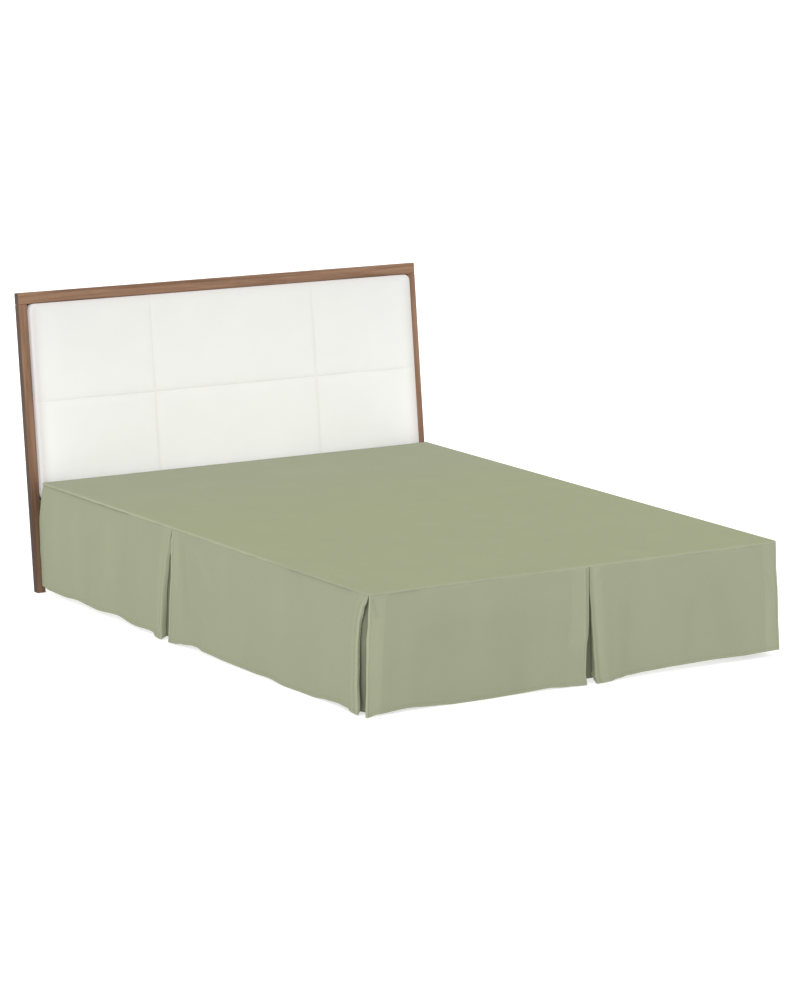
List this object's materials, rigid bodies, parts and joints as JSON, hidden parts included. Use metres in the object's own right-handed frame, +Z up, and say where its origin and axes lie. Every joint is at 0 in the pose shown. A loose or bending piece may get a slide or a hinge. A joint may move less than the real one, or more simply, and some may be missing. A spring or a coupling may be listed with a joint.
{
  "type": "bed skirt on a box bed with a headboard",
  "caption": "Tailored bed skirt with a flat deck cloth and straight drops split by kick pleats, on a plain box bed with a leaning upholstered headboard.",
  "frame": {"origin": "on the floor under the middle of the bed, at the centre of the bottom of the middle foot", "axes": "+X across the bed to the right as seen from its foot, +Y along the bed towards the headboard, +Z up"},
  "size_m": [1.622, 2.1603, 1.0107],
  "materials": {
    "skirt_cloth": "plain sage green woven cloth, matte",
    "base_cover": "plain light grey cover, hidden by the skirt",
    "foot_plastic": "matte black",
    "headboard_wood": "mid brown wood with a fine straight grain, satin",
    "pad_cover": "white upholstery, matte"
  },
  "bodies": {
    "root": {"deck": "skirt_cloth", "drop_left_head": "skirt_cloth", "drop_left_foot": "skirt_cloth", "drop_foot_left": "skirt_cloth", "drop_foot_right": "skirt_cloth", "drop_right_foot": "skirt_cloth", "drop_right_head": "skirt_cloth", "underlay_left": "skirt_cloth", "underlay_foot": "skirt_cloth", "underlay_right": "skirt_cloth", "underlay_near_corner": "skirt_cloth", "underlay_far_corner": "skirt_cloth", "box_base": "base_cover", "foot_centre": "foot_plastic", "foot_near_left": "foot_plastic", "foot_near_right": "foot_plastic", "foot_head_left": "foot_plastic", "foot_head_right": "foot_plastic", "post_left": "headboard_wood", "post_right": "headboard_wood", "top_rail": "headboard_wood", "low_rail": "headboard_wood", "back_board": "headboard_wood", "spacer_left": "headboard_wood", "spacer_right": "headboard_wood", "pad": "pad_cover"}
  },
  "joints": []
}
